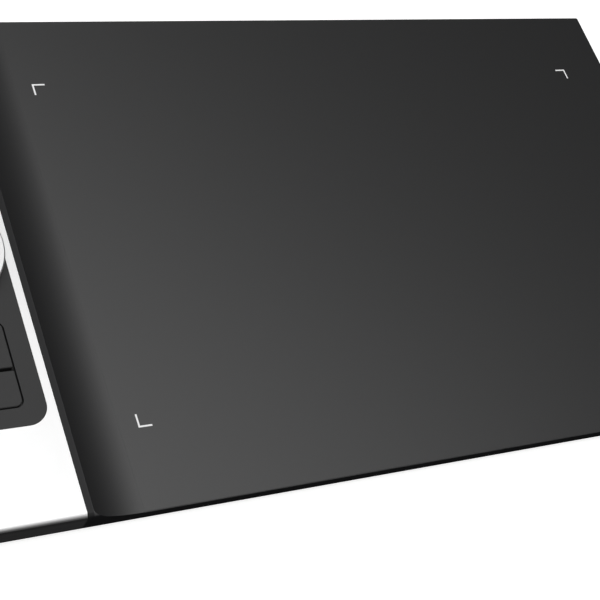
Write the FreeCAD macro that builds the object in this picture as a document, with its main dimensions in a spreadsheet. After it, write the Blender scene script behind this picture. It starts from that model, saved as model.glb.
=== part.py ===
# Pen tablet: a thin moulded housing with a flat drawing area, a raised left end under a
# silver plate, a key panel with eight keys, and a dial that stands above it.
# Millimetres. X runs along the housing to the right, Y to the back, Z up. The origin is under the
# middle of the housing, on the surface that the feet stand on.
import FreeCAD, Part
import os
import re
import Sketcher

doc = FreeCAD.newDocument("pen_tablet")
pieces = []

sizes = {
    # Housing
    "housing_length": 390,
    "housing_depth": 224.2,
    "body_height": 6,  # underside of the housing to the drawing surface
    "end_rise": 4.25,  # the raised end stands this far over the drawing surface
    "right_corner": 1,
    "left_corner": 3,
    "edge_roll": 2.6,  # rolled upper edges of the raised end
    "cover_roof": 1.2,
    "cover_wall": 2.7,
    "strip_width": 2.35,
    "cove_width": 19.9,

    # Drawing sheet
    "sheet_thickness": 0.3,
    "sheet_inset": 0.2,
    "sheet_gap": 0.03,

    # Side plate
    "left_band": 4.95,  # silver band between the end of the housing and the panel
    "plate_thickness": 1,
    "plate_drop": 1.2,  # from the plate's top down to its lower edge
    "plate_fit": 0.1,
    "plate_gap": 0.2,

    # Bottom cover
    "base_thickness": 1.1,
    "base_inset": 0.15,
    "base_chamfer": 0.45,
    "rim_height": 1,
    "rim_thickness": 1.2,
    "rim_gap": 0.2,
    "rib_thickness": 1.2,
    "rib_margin": 8,
    "rib_rows": 4,
    "rib_columns": 5,

    # Feet and the screws above them
    "foot_stand": 1,
    "foot_radius": 6.9,
    "foot_recess": 0.5,
    "foot_gap": 0.2,
    "foot_edge": 0.4,
    "foot_inset_x": 14,
    "foot_inset_y": 14.1,
    "boss_radius": 3.5,
    "boss_height": 1.5,
    "cover_screw_radius": 1,
    "cover_screw_length": 3,
    "cover_screw_head": 1.8,
    "cover_screw_head_height": 1.2,
    "screw_clearance": 0.2,
    "thread_gap": 0.05,

    # Key panel
    "band_width": 3.3,  # silver band between the panel and the strip
    "panel_margin": 37.8,  # silver in front of the panel and behind it
    "dial_border": 0.2,  # panel outside the dial on either side
    "panel_corner": 8,
    "panel_gap": 0.15,
    "panel_drop": 0.1,
    "panel_depth": 0.9,  # below the platform's top
    "ledge_width": 1.5,
    "window_gap": 0.2,

    # Keys
    "block_width": 32.8,
    "dial_to_keys": 7.5,
    "block_margin": 8,  # last row of keys to the end of the panel
    "row_far": 14.3,
    "key_gap": 1.3,
    "outline_gap": 0.6,
    "key_corner": 2.8,
    "key_small_corner": 0.4,
    "key_chamfer": 0.25,
    "key_proud": 0.3,
    "key_roof": 1.2,
    "key_wall": 1,
    "key_travel": 0.8,
    "key_play": 0.05,
    "flange_reach": 1.2,
    "flange_thickness": 0.6,
    "post_radius": 1.6,

    # Key switches
    "switch_size": 5,
    "switch_height": 1.6,
    "switch_floor": 0.2,
    "plunger_radius": 1.3,
    "plunger_gap": 0.1,
    "plunger_hold": 0.5,  # length that stays inside the switch at rest

    # Dial
    "dial_radius": 24.4,
    "dial_rise": 4.55,  # top of the ring over the panel
    "dial_lift": 0.6,  # gap under the ring
    "dial_chamfer": 0.5,
    "ring_cover": 0.2,  # how far the ring covers the rim of the hub
    "ring_roof": 1.4,
    "ring_wall": 1.3,
    "spigot_height": 1,
    "spigot_wall": 1.15,
    "hole_gap": 0.6,
    "neck_inset": 3.6,  # neck under the ring, from the ring's outside
    "neck_wall": 1.4,
    "hub_wall": 1.4,
    "running_gap": 0.05,
    "lip_reach": 0.7,
    "lip_gap": 0.5,
    "lip_height": 0.7,
    "sleeve_wall": 1.5,
    "web_thickness": 0.8,
    "web_clearance": 0.35,
    "comb_reach": 2.6,  # skirt outside the neck
    "comb_wall": 1,
    "comb_lift": 0.7,
    "comb_slot": 3,
    "comb_slot_height": 1.3,
    "click_count": 24,
    "click_radius": 0.8,
    "click_depth": 0.35,
    "washer_thickness": 0.4,
    "washer_gap": 0.4,  # to the light barriers
    "hub_flange": 4.4,
    "hub_flange_thickness": 1.2,

    # Touch disc
    "disc_gap": 0.4,
    "disc_drop": 0.5,
    "disc_thickness": 1.6,
    "disc_rim": 0.7,
    "disc_dish": 0.7,
    "dish_slope": 5.4,
    "touch_board_gap": 0.4,
    "touch_board_thickness": 0.8,

    # Detent spring and light barriers
    "spring_thickness": 0.3,
    "spring_height": 3,
    "spring_length": 26,
    "spring_foot": 2.4,
    "spring_gap": 0.15,
    "bump_rise": 1.1,
    "bump_width": 3.4,
    "sensor_leg": 1.2,
    "sensor_gap": 0.6,
    "sensor_width": 4,
    "sensor_base": 0.4,
    "sensor_top_gap": 0.3,
    "sensor_tilt": 14,

    # Boards
    "board_thickness": 1,
    "board_drop": 3.45,  # key board under the platform
    "board_lift": 0.3,  # main board's screw heads over the floor
    "key_board_gap": 0.7,
    "boards_gap": 3,
    "boss_clearance": 3.5,  # main board to the boss beside it
    "main_board_length": 50,
    "board_margin": 0.4,
    "sensor_end_gap": 14.3,
    "sensor_side_gap": 28.1,  # from the edges of the housing
    "sensor_board_thickness": 0.8,
    "sensor_clearance": 2.8,
    "tab_length": 12,
    "tab_inset": 3,  # from the tab's edge to the mouth of its socket
    "shield_thickness": 0.3,
    "shield_margin": 2,
    "board_screw_radius": 0.8,
    "board_screw_length": 3,
    "board_screw_head": 1.5,
    "board_screw_head_height": 0.8,
    "board_boss_radius": 2.2,
    "board_screw_inset": 3,
    "boss_inset": 10,  # of the main board's right screw, clear of the socket
    "key_screw_inset": 5.8,
    "key_screw_reach": 6.2,  # past the end of the panel's window
    "key_screw_edge": 5,

    # Packages on the main board
    "processor_size": 7,
    "processor_height": 0.9,
    "driver_size": 5,
    "driver_height": 0.8,
    "crystal_size": 3,
    "crystal_height": 0.7,
    "chip_start": 18,
    "chip_pitch": 10,
    "chip_gap": 2,  # behind the cable socket

    # Flat cables and their sockets
    "ribbon_width": 10,
    "ribbon_thickness": 0.2,
    "socket_depth": 4,
    "socket_height": 1.2,
    "socket_wall": 1,
    "touch_ribbon_width": 6,
    "touch_socket_x": 3,  # from the dial's axis
    "touch_rise_x": 4,
    "bridge_offset": 8,
    "ribbon_straight": 2,

    # Allowances
    "past": 1,  # how far a cut starts and ends beyond what it cuts
    "into": 0.2,  # how far a boss or post runs into what carries it
    "pilot_spare": 0.2,  # depth of a pilot past its screw's tip

    # Inlet
    "inlet_start": 14,  # from the left edge of the main board
    "inlet_width": 8.94,
    "inlet_height": 3.26,
    "inlet_wall": 0.3,
    "inlet_length": 7.35,
    "inlet_set_back": 0.4,
    "inlet_clearance": 0.25,
    "tongue_width": 6.69,
    "tongue_thickness": 0.7,
    "tongue_length": 4.45,
    "tongue_block": 2,
}

# Sizes that follow from the ones above
ties = {
    # Key panel and side plate
    "panel_width": "2 * (dial_radius + dial_border)",
    "panel_length": "housing_depth - 2 * panel_margin",
    "plate_width": "left_band + 2 * panel_gap + panel_width + band_width",

    # Keys
    "block_start": "dial_radius + dial_to_keys",
    "row_near": "panel_length / 2 - block_margin - block_start - key_gap - row_far",

    # Dial and touch disc
    "neck_radius": "dial_radius - neck_inset",
    "hub_radius": "neck_radius - neck_wall - running_gap - spigot_wall - lip_gap - lip_reach",
    "ring_bore": "hub_radius + lip_reach - ring_cover",
    "disc_floor": "ring_bore - disc_gap - disc_rim - dish_slope",
    "touch_board_radius": "hub_radius - hub_wall - touch_board_gap",
    "comb_radius": "neck_radius + comb_reach",
    "washer_radius": "comb_radius - comb_wall - sensor_gap - sensor_leg - washer_gap",

    # Feet
    "foot_reach_x": "housing_length / 2 - foot_inset_x",
    "foot_reach_y": "housing_depth / 2 - foot_inset_y",

    # Key board
    "key_board_top": "foot_stand + body_height + end_rise - plate_thickness - cover_roof - board_drop",
    "key_board_width": "2 * (left_band + panel_gap + panel_width / 2 - cover_wall - key_board_gap)",
    "key_board_screw_x": "key_board_width / 2 - key_screw_inset",
    "key_board_screw_y": "panel_length / 2 - ledge_width + key_screw_reach",
    "key_board_length": "2 * (key_board_screw_y + key_screw_edge)",

    # Main board and inlet
    "main_board_under": "foot_stand + base_thickness + board_lift + board_screw_head_height",
    "main_board_top": "main_board_under + board_thickness",
    "main_board_left": "foot_inset_x - housing_length / 2 + boss_radius + boss_clearance",
    "main_board_front": "key_board_length / 2 + boards_gap",
    "inlet_x": "main_board_left + inlet_start",

    # Sensor board
    "sensor_board_left": "plate_width + plate_gap + strip_width + cove_width + sensor_clearance",
    "sensor_board_length": "housing_length - sensor_board_left - cover_wall - sensor_end_gap",
    "sensor_board_depth": "housing_depth - 2 * sensor_side_gap",
    "tab_depth": "main_board_front + ribbon_width + socket_wall - sensor_board_depth / 2",
}

sheet = doc.addObject("Spreadsheet::Sheet", "Sizes")
for row, (alias, value) in enumerate([*sizes.items(), *ties.items()], start=1):
    sheet.set(f"A{row}", alias)
    sheet.set(f"B{row}", f"={value}")
    sheet.setAlias(f"B{row}", alias)

# Places that follow from the sizes
half_length = "(housing_length / 2)"
half_depth = "(housing_depth / 2)"
seam = "(foot_stand + base_thickness)"
surface_top = "(foot_stand + body_height)"
cover_top = f"({surface_top} - sheet_thickness)"
roof_under = f"({cover_top} - cover_roof)"
plate_top = f"({surface_top} + end_rise)"
platform_top = f"({plate_top} - plate_thickness)"
platform_under = f"({platform_top} - cover_roof)"
plate_right = f"(plate_width - {half_length})"
strip_left = f"({plate_right} + plate_gap)"
ridge = f"({strip_left} + strip_width)"
cove_foot = f"({ridge} + cove_width)"
cove_radius = "((cove_width^2 + end_rise^2) / (2 * end_rise))"
cavity_left = f"(cover_wall - {half_length})"
cavity_right = f"({half_length} - cover_wall)"
cavity_back = f"({half_depth} - cover_wall)"
dial_x = f"({plate_right} - band_width - panel_gap - panel_width / 2)"
panel_top = f"({plate_top} - panel_drop)"
panel_under = f"({platform_top} - panel_depth)"
window_half_width = "(panel_width / 2 - ledge_width)"
window_half_length = "(panel_length / 2 - ledge_width)"
window_corner = "(panel_corner - ledge_width)"
key_top = f"({panel_top} + key_proud)"
flange_top = f"({panel_under} - key_play)"
flange_under = f"({flange_top} - flange_thickness)"
switch_top = "(key_board_top + switch_height)"
plunger_top = f"({switch_top} + key_travel + plunger_gap)"
ring_top = f"({panel_top} + dial_rise)"
ring_under = f"({ring_top} - ring_roof)"
disc_top = f"({ring_top} - disc_drop)"
disc_under = f"({disc_top} - disc_thickness)"
lip_under = f"({disc_under} - lip_height)"
hub_inner = "(hub_radius - hub_wall)"
hub_screw_circle = f"({hub_inner} - hub_flange / 2)"
web_top = f"({platform_under} - web_clearance)"
web_under = f"({web_top} - web_thickness)"
rotor_bore = "(hub_radius + running_gap)"
plate_low = f"({plate_top} - plate_drop)"
wall_top = f"({plate_low} - plate_gap)"
screw_seat = "(foot_stand + foot_recess + cover_screw_head_height)"
boss_meet = f"({seam} + boss_height)"
board_back = f"({cavity_back} - board_margin)"
main_board_right = "(main_board_left + main_board_length)"
sensor_left = f"(sensor_board_left - {half_length})"
sensor_top = roof_under
sensor_under = f"({sensor_top} - sensor_board_thickness)"
shield_under = f"({sensor_under} - shield_thickness)"
inlet_mouth = f"({half_depth} - inlet_set_back)"
inlet_level = "(main_board_top + inlet_height / 2)"

foot_spots = [
    (f"({side} * foot_reach_x)", f"({end} * foot_reach_y)")
    for side in (-1, 0, 1)
    for end in (-1, 1)
]
key_board_screws = [
    (f"({dial_x} + {side} * key_board_screw_x)", f"({end} * key_board_screw_y)")
    for side in (-1, 1)
    for end in (-1, 1)
]
main_board_screws = [
    ("(main_board_left + board_screw_inset)", "(main_board_front + board_screw_inset)"),
    ("(main_board_left + board_screw_inset)", f"({board_back} - board_screw_inset)"),
    (f"({main_board_right} - boss_inset)", f"({board_back} - board_screw_inset)"),
]
hub_screws = [
    (f"({hub_screw_circle} * cos({120 * n} deg))", f"({hub_screw_circle} * sin({120 * n} deg))")
    for n in range(3)
]


def named(expression):
    """The expression with each size's name turned into its cell."""
    return re.sub(
        r"[a-z][a-z_]*",
        lambda word: "Sizes." + word[0] if word[0] in sizes or word[0] in ties else word[0],
        expression,
    )


def number(expression):
    """The expression's value as the sheet stands."""
    return float(sheet.evalExpression(named(expression)))


def minus(expression):
    return f"(-{expression})"


def bind(thing, prop, expression):
    thing.setExpression(prop, named(expression))


def place(thing, x="0", y="0", z="0"):
    for axis, expression in (("x", x), ("y", y), ("z", z)):
        if expression != "0":
            bind(thing, f"Placement.Base.{axis}", expression)


def body(label, x="0", y="0", z="0"):
    """A sub-part of the tablet, which is written to its own file."""
    made = doc.addObject("PartDesign::Body", label)
    made.Label = label
    place(made, x, y, z)
    pieces.append(made)
    return made


def rectangle(left, right, front, back):
    return [(left, front), (right, front), (right, back), (left, back)], {}


def rounded(left, right, front, back, radius):
    """A rectangle with round corners: its points, and the X of each arc's centre."""
    inner_left, inner_right = f"({left} + {radius})", f"({right} - {radius})"
    low, high = f"({front} + {radius})", f"({back} - {radius})"
    points = [
        (inner_left, front), (inner_right, front), (right, low), (right, high),
        (inner_right, back), (inner_left, back), (left, high), (left, low),
    ]
    centres = {
        1: (inner_right, low), 3: (inner_right, high), 5: (inner_left, high), 7: (inner_left, low),
    }
    return points, centres


def slot(across, up, width, height):
    """A flat opening with half-round ends."""
    left, right = f"({across} - ({width} - {height}) / 2)", f"({across} + ({width} - {height}) / 2)"
    low, high = f"({up} - {height} / 2)", f"({up} + {height} / 2)"
    points = [(left, low), (right, low), (right, high), (left, high)]
    return points, {1: (right, up), 3: (left, up)}


def circle(x, y, radius):
    return x, y, radius


def sketch(host, plane, name, offset="0"):
    """A sketch on one of the body's own origin planes, lifted along the plane's normal."""
    drawn = host.newObject("Sketcher::SketchObject", name)
    support = next(f for f in host.Origin.OriginFeatures if f.Role == plane)
    drawn.AttachmentSupport = [(support, "")]
    drawn.MapMode = "FlatFace"
    if offset != "0":
        bind(drawn, "AttachmentOffset.Base.z", offset)
    return drawn


def hold(drawn, geometry, vertex, name, x, y):
    """Ties a point of a sketch to two expressions."""
    for kind, axis, suffix, expression in (
        ("DistanceX", -2, "x", x),
        ("DistanceY", -1, "y", y),
    ):
        if expression is None:
            continue
        if expression == "0":
            drawn.addConstraint(Sketcher.Constraint("PointOnObject", geometry, vertex, axis))
            continue
        added = drawn.addConstraint(
            Sketcher.Constraint(kind, -1, 1, geometry, vertex, number(expression))
        )
        drawn.renameConstraint(added, f"{name}_{suffix}")
        bind(drawn, f"Constraints.{name}_{suffix}", expression)


def draw_outline(drawn, points, centres, tag):
    """Closed outline through the points. Arcs run anticlockwise from their point to the next."""
    spots = [FreeCAD.Vector(number(x), number(y), 0) for x, y in points]
    sides = []
    for i, start in enumerate(spots):
        end = spots[(i + 1) % len(spots)]
        if i in centres:
            middle = FreeCAD.Vector(number(centres[i][0]), number(centres[i][1]), 0)
            whole = Part.Circle(middle, FreeCAD.Vector(0, 0, 1), (start - middle).Length)
            arc = Part.ArcOfCircle(whole, whole.parameter(start), whole.parameter(end))
            sides.append(drawn.addGeometry(arc, False))
        else:
            sides.append(drawn.addGeometry(Part.LineSegment(start, end), False))
    drawn.addConstraint(
        [Sketcher.Constraint("Coincident", sides[i - 1], 2, sides[i], 1) for i in range(len(sides))]
    )
    for i, (x, y) in enumerate(points):
        hold(drawn, sides[i], 1, f"{tag}_point_{i}", x, y)
        if i in centres:
            hold(drawn, sides[i], 3, f"{tag}_centre_{i}", centres[i][0], None)


def draw(drawn, shapes):
    for n, shape in enumerate(shapes):
        if len(shape) == 2:
            draw_outline(drawn, *shape, f"shape_{n}")
            continue
        x, y, radius = shape
        middle = FreeCAD.Vector(number(x), number(y), 0)
        whole = drawn.addGeometry(
            Part.Circle(middle, FreeCAD.Vector(0, 0, 1), number(radius)), False
        )
        hold(drawn, whole, 3, f"shape_{n}_middle", x, y)
        added = drawn.addConstraint(Sketcher.Constraint("Radius", whole, number(radius)))
        drawn.renameConstraint(added, f"shape_{n}_radius")
        bind(drawn, f"Constraints.shape_{n}_radius", radius)


def solid_of(host):
    doc.recompute()
    return host.Tip.Shape


def extrude(host, name, kind, plane, offset, length, shapes, both_ways=False):
    """A pad or pocket of the shapes. A pocket has to take something away."""
    before = solid_of(host).Volume if host.Tip else 0
    drawn = sketch(host, plane, name + "_sketch", offset)
    draw(drawn, shapes)
    made = host.newObject("PartDesign::" + kind, name)
    made.Profile = drawn
    if both_ways:
        made.SideType = "Symmetric"
    bind(made, "Length", length)
    doc.recompute()
    changed = made.Shape.Volume - before
    if (kind == "Pocket" and changed > -1e-6) or (kind == "Pad" and changed < 1e-6):
        raise RuntimeError(f"{host.Label}: {name} changes nothing")
    return made


def add(host, name, low, high, *shapes):
    return extrude(host, name, "Pad", "XY_Plane", low, f"({high} - {low})", shapes)


def cut(host, name, low, high, *shapes):
    return extrude(host, name, "Pocket", "XY_Plane", high, f"({high} - {low})", shapes)


def revolve(host, name, points, centres=None):
    """Turns an outline of (radius, height) points about the body's Z axis."""
    drawn = sketch(host, "XZ_Plane", name + "_sketch")
    draw(drawn, [(points, centres or {})])
    made = host.newObject("PartDesign::Revolution", name)
    made.Profile = drawn
    made.ReferenceAxis = (drawn, ["V_Axis"])
    made.Angle = 360
    return made


def dress(host, kind, base, prop, expression, chosen):
    """Fillet or chamfer of the base's edges that the test picks."""
    doc.recompute()
    names = [f"Edge{i + 1}" for i, edge in enumerate(base.Shape.Edges) if chosen(edge)]
    made = host.newObject("PartDesign::" + kind, f"{kind}_{base.Name}")
    made.Base = (base, names)
    bind(made, prop, expression)
    return made


def fillet(host, base, radius, chosen):
    return dress(host, "Fillet", base, "Radius", radius, chosen)


def chamfer(host, base, breadth, chosen):
    return dress(host, "Chamfer", base, "Size", breadth, chosen)


def upright(edge):
    low, high = edge.BoundBox.ZMin, edge.BoundBox.ZMax
    return high - low > 1e-6 and edge.BoundBox.XLength < 1e-6 and edge.BoundBox.YLength < 1e-6


def level(edge, height):
    return max(abs(edge.BoundBox.ZMin - height), abs(edge.BoundBox.ZMax - height)) < 1e-6


def repeat(host, base, count):
    """Copies of a feature spread round the body's Z axis."""
    made = host.newObject("PartDesign::PolarPattern", base.Name + "_round")
    made.Originals = [base]
    axis = next(f for f in host.Origin.OriginFeatures if f.Role == "Z_Axis")
    made.Axis = (axis, [""])
    made.Angle = 360
    bind(made, "Occurrences", count)
    host.Tip = made
    return made


def rolled_block(host, name, left, right, back, low, top, corner, roll):
    """A block of the raised end: round left corners and rolled upper edges on three sides."""
    block = add(host, name, low, top, rectangle(left, right, minus(back), back))
    far_left, far_right, bottom, height = (number(e) for e in (left, right, low, top))
    corners = fillet(
        host, block, corner,
        lambda e: upright(e) and abs(e.BoundBox.XMin - far_left) < 1e-6
        and e.BoundBox.ZMin > bottom - 1e-6,
    )
    return fillet(
        host, corners, roll,
        lambda e: level(e, height) and e.BoundBox.XMin < far_right - 1e-6,
    )


def cylinder(label, x, y, low, high, radius):
    made = doc.addObject("Part::Cylinder", label)
    place(made, x, y, low)
    bind(made, "Radius", radius)
    bind(made, "Height", f"({high} - {low})")
    return made


def box(label, left, right, front, back, low, high):
    made = doc.addObject("Part::Box", label)
    place(made, left, front, low)
    bind(made, "Length", f"({right} - {left})")
    bind(made, "Width", f"({back} - {front})")
    bind(made, "Height", f"({high} - {low})")
    return made


def group(label, members):
    """Separate solids that share one node."""
    made = doc.addObject("Part::Compound", label)
    made.Label = label
    made.Links = members
    pieces.append(made)
    return made


def platform_block():
    """What the side plate rests on: it follows the inside of the plate."""
    block = doc.addObject("PartDesign::Body", "platform_block")
    skin = "(plate_thickness + plate_fit)"
    rolled_block(
        block, "platform", f"({skin} - {half_length})", f"({strip_left} + past)",
        f"({half_depth} - {skin})", seam, platform_top,
        "(left_corner - plate_thickness)", "(edge_roll - plate_thickness)",
    )
    return block


def make_top_cover():
    """Upper housing: platform under the plate, strip, concave sweep and flat area."""
    cover = body("top_cover")
    rolled_block(
        cover, "main", minus(half_length), half_length, half_depth, seam, plate_top,
        "left_corner", "edge_roll",
    )
    cut(cover, "plate_seat", wall_top, f"({plate_top} + past)",
        rectangle(f"(-{half_length} - past)", strip_left,
                  f"(-{half_depth} - past)", f"({half_depth} + past)"))
    joined = cover.newObject("PartDesign::Boolean", "with_platform")
    joined.setObjects([platform_block()])
    joined.Type = "Fuse"
    sweep = [
        (ridge, plate_top), (cove_foot, surface_top), (cove_foot, cover_top),
        (f"({half_length} + past)", cover_top), (f"({half_length} + past)", f"({plate_top} + past)"),
        (ridge, f"({plate_top} + past)"),
    ]
    swept = extrude(
        cover, "sweep", "Pocket", "XZ_Plane", "0", "(housing_depth + 2 * past)",
        [(sweep, {0: (cove_foot, f"({surface_top} + {cove_radius})")})], both_ways=True,
    )
    right = number(half_length)
    fillet(cover, swept, "right_corner", lambda e: upright(e) and e.BoundBox.XMin > right - 1e-6)

    # The inside follows the sweep from the same centre.
    inner_radius = f"({cove_radius} + sheet_thickness + cover_roof)"
    inner_rise = f"({platform_under} - {roof_under})"
    inner_reach = f"sqrt({inner_radius}^2 - ({inner_radius} - {inner_rise})^2)"
    cavity = [
        (cavity_left, f"({seam} - past)"), (cavity_left, platform_under),
        (f"({cove_foot} - {inner_reach})", platform_under), (cove_foot, roof_under),
        (cavity_right, roof_under), (cavity_right, f"({seam} - past)"),
    ]
    extrude(
        cover, "cavity", "Pocket", "XZ_Plane", "0", f"(2 * {cavity_back})",
        [(cavity, {2: (cove_foot, f"({surface_top} + {cove_radius})")})], both_ways=True,
    )
    cut(
        cover, "window", f"({platform_under} - past)", f"({platform_top} + past)",
        rounded(
            f"({dial_x} - {window_half_width} - window_gap)",
            f"({dial_x} + {window_half_width} + window_gap)",
            f"(-{window_half_length} - window_gap)", f"({window_half_length} + window_gap)",
            f"({window_corner} + window_gap)",
        ),
    )
    extrude(
        cover, "inlet_hole", "Pocket", "XZ_Plane", minus(f"({cavity_back} - past)"),
        "(cover_wall + 2 * past)",
        [slot("inlet_x", inlet_level, "(inlet_width + 2 * inlet_clearance)",
              "(inlet_height + 2 * inlet_clearance)")],
    )
    left_spots, right_spots = foot_spots[:2], foot_spots[2:]
    add(cover, "end_bosses", boss_meet, f"({platform_under} + into)",
        *[circle(x, y, "boss_radius") for x, y in left_spots])
    add(cover, "flat_bosses", boss_meet, f"({roof_under} + into)",
        *[circle(x, y, "boss_radius") for x, y in right_spots])
    cut(cover, "cover_pilots", f"({boss_meet} - past)",
        f"({screw_seat} + cover_screw_length + pilot_spare)",
        *[circle(x, y, "(cover_screw_radius + thread_gap)") for x, y in foot_spots])
    add(cover, "key_board_bosses", "key_board_top", f"({platform_under} + into)",
        *[circle(x, y, "board_boss_radius") for x, y in key_board_screws])
    add(cover, "main_board_bosses", "main_board_top", f"({platform_under} + into)",
        *[circle(x, y, "board_boss_radius") for x, y in main_board_screws])
    pilot = "(board_screw_radius + thread_gap)"
    reach = "(board_screw_length - board_thickness + pilot_spare)"
    cut(cover, "key_board_pilots", "(key_board_top - past)", f"(key_board_top + {reach})",
        *[circle(x, y, pilot) for x, y in key_board_screws])
    cut(cover, "main_board_pilots", "(main_board_top - past)", f"(main_board_top + {reach})",
        *[circle(x, y, pilot) for x, y in main_board_screws])


def make_drawing_sheet():
    """Matte film on the flat area, from the foot of the sweep to just inside the edges."""
    film = body("drawing_sheet")
    block = add(
        film, "film", cover_top, surface_top,
        rectangle(
            f"({cove_foot} + sheet_gap)", f"({half_length} - sheet_inset)",
            f"(sheet_inset - {half_depth})", f"({half_depth} - sheet_inset)",
        ),
    )
    right = number(f"({half_length} - sheet_inset)")
    fillet(film, block, "(right_corner - sheet_inset)",
           lambda e: upright(e) and e.BoundBox.XMin > right - 1e-6)


def make_side_plate():
    """Silver plate of even thickness, with rolled edges, over the raised end."""
    plate = body("side_plate")
    roll_foot = f"({plate_top} - edge_roll - plate_gap)"
    outer = rolled_block(
        plate, "outside", minus(half_length), plate_right, half_depth, roll_foot, plate_top,
        "left_corner", "edge_roll",
    )
    doc.recompute()
    low, right = number(roll_foot), number(plate_right)
    open_faces = [
        f"Face{i + 1}"
        for i, face in enumerate(outer.Shape.Faces)
        if face.BoundBox.ZMax < low + 1e-6 or face.BoundBox.XMin > right - 1e-6
    ]
    shell = plate.newObject("PartDesign::Thickness", "shell")
    shell.Base = (outer, open_faces)
    shell.Reversed = True
    bind(shell, "Value", "plate_thickness")
    doc.recompute()
    cut(plate, "edge", f"({roll_foot} - past)", plate_low,
        rectangle(f"(-{half_length} - past)", f"({plate_right} + past)",
                  f"(-{half_depth} - past)", f"({half_depth} + past)"))
    cut(
        plate, "opening", f"({platform_top} - past)", f"({plate_top} + past)",
        rounded(
            f"({dial_x} - panel_width / 2 - panel_gap)", f"({dial_x} + panel_width / 2 + panel_gap)",
            "(-panel_length / 2 - panel_gap)", "(panel_length / 2 + panel_gap)",
            "(panel_corner + panel_gap)",
        ),
    )


def make_bottom_cover():
    """Lower tray: floor with chamfered edge, locating rim, ribs under the sensor, screw bosses."""
    tray = body("bottom_cover")
    edge_x, edge_y = f"({half_length} - base_inset)", f"({half_depth} - base_inset)"
    floor = add(tray, "floor", "foot_stand", seam,
                rectangle(minus(edge_x), edge_x, minus(edge_y), edge_y))
    left = fillet(tray, floor, "left_corner", lambda e: upright(e) and e.BoundBox.XMin < 0)
    right = fillet(tray, left, "right_corner",
                   lambda e: upright(e) and e.BoundBox.XMin > number(edge_x) - 1e-6)
    chamfer(tray, right, "base_chamfer", lambda e: level(e, number("foot_stand")))
    rim_x, rim_y = f"({half_length} - cover_wall - rim_gap)", f"({cavity_back} - rim_gap)"
    add(
        tray, "rim", seam, f"({seam} + rim_height)",
        rectangle(minus(rim_x), rim_x, minus(rim_y), rim_y),
        rectangle(f"(rim_thickness - {rim_x})", f"({rim_x} - rim_thickness)",
                  f"(rim_thickness - {rim_y})", f"({rim_y} - rim_thickness)"),
    )
    rib_left = f"({sensor_left} + rib_margin)"
    rib_right = f"({sensor_left} + sensor_board_length - rib_margin)"
    rib_y = "(sensor_board_depth / 2 - rib_margin)"
    row = add(tray, "rib_row", seam, shield_under,
              rectangle(rib_left, rib_right, minus(rib_y), f"(rib_thickness - {rib_y})"))
    pattern(tray, row, "Y_Axis", f"(2 * {rib_y} - rib_thickness)", "rib_rows")
    column = add(tray, "rib_column", seam, shield_under,
                 rectangle(rib_left, f"({rib_left} + rib_thickness)", minus(rib_y), rib_y))
    pattern(tray, column, "X_Axis", f"({rib_right} - {rib_left} - rib_thickness)", "rib_columns")
    add(tray, "bosses", seam, boss_meet, *[circle(x, y, "boss_radius") for x, y in foot_spots])
    cut(tray, "foot_recesses", "(foot_stand - past)", "(foot_stand + foot_recess)",
        *[circle(x, y, "(foot_radius + foot_gap)") for x, y in foot_spots])
    cut(tray, "head_recesses", "(foot_stand - past)", screw_seat,
        *[circle(x, y, "(cover_screw_head + screw_clearance)") for x, y in foot_spots])
    cut(tray, "screw_holes", "(foot_stand - past)", f"({boss_meet} + past)",
        *[circle(x, y, "(cover_screw_radius + screw_clearance)") for x, y in foot_spots])


def pattern(host, base, axis_role, length, count):
    """Evenly spaced copies of a feature along one of the body's axes."""
    made = host.newObject("PartDesign::LinearPattern", base.Name + "_row")
    made.Originals = [base]
    axis = next(f for f in host.Origin.OriginFeatures if f.Role == axis_role)
    made.Direction = (axis, [""])
    bind(made, "Length", length)
    bind(made, "Occurrences", count)
    host.Tip = made
    return made


def make_feet():
    """Round rubber feet, set into recesses over the cover screws."""
    for n, (x, y) in enumerate(foot_spots):
        foot = body(f"foot_{n + 1}", x, y)
        disc = add(foot, "disc", "0", "(foot_stand + foot_recess)", circle("0", "0", "foot_radius"))
        chamfer(foot, disc, "foot_edge", lambda e: level(e, 0))


def make_key_panel():
    """Dark panel: a flange on the platform and a block through its window, with the openings."""
    panel = body("key_panel", x=dial_x)
    add(
        panel, "flange", platform_top, panel_top,
        rounded("(-panel_width / 2)", "(panel_width / 2)",
                "(-panel_length / 2)", "(panel_length / 2)", "panel_corner"),
    )
    add(
        panel, "block", panel_under, platform_top,
        rounded(minus(window_half_width), window_half_width,
                minus(window_half_length), window_half_length, window_corner),
    )
    half_width = "(block_width / 2 + outline_gap)"
    near = "(block_start - outline_gap)"
    far = "(block_start + row_near + key_gap + row_far + outline_gap)"
    corner = "(key_corner + outline_gap)"
    for name, front, back in (("back_opening", near, far), ("front_opening", minus(far), minus(near))):
        cut(panel, name, f"({panel_under} - past)", f"({panel_top} + past)",
            rounded(minus(half_width), half_width, front, back, corner))
    cut(panel, "dial_hole", f"({panel_under} - past)", f"({panel_top} + past)",
        circle("0", "0", "(neck_radius + hole_gap)"))


def key_edges(column, row, end):
    """Left, right, front and back of a key, from the dial's axis, and its round corner's place."""
    inner, outer = "(key_gap / 2)", "(block_width / 2)"
    near_start, near_end = "block_start", "(block_start + row_near)"
    far_start = "(block_start + row_near + key_gap)"
    far_end = "(block_start + row_near + key_gap + row_far)"
    start, stop = (near_start, near_end) if row == "near" else (far_start, far_end)
    left, right = (inner, outer) if column > 0 else (minus(outer), minus(inner))
    front, back = (start, stop) if end > 0 else (minus(stop), minus(start))
    corner_y = start if row == "near" else stop
    return (left, right, front, back), (column * number(outer), end * number(corner_y))


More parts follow.
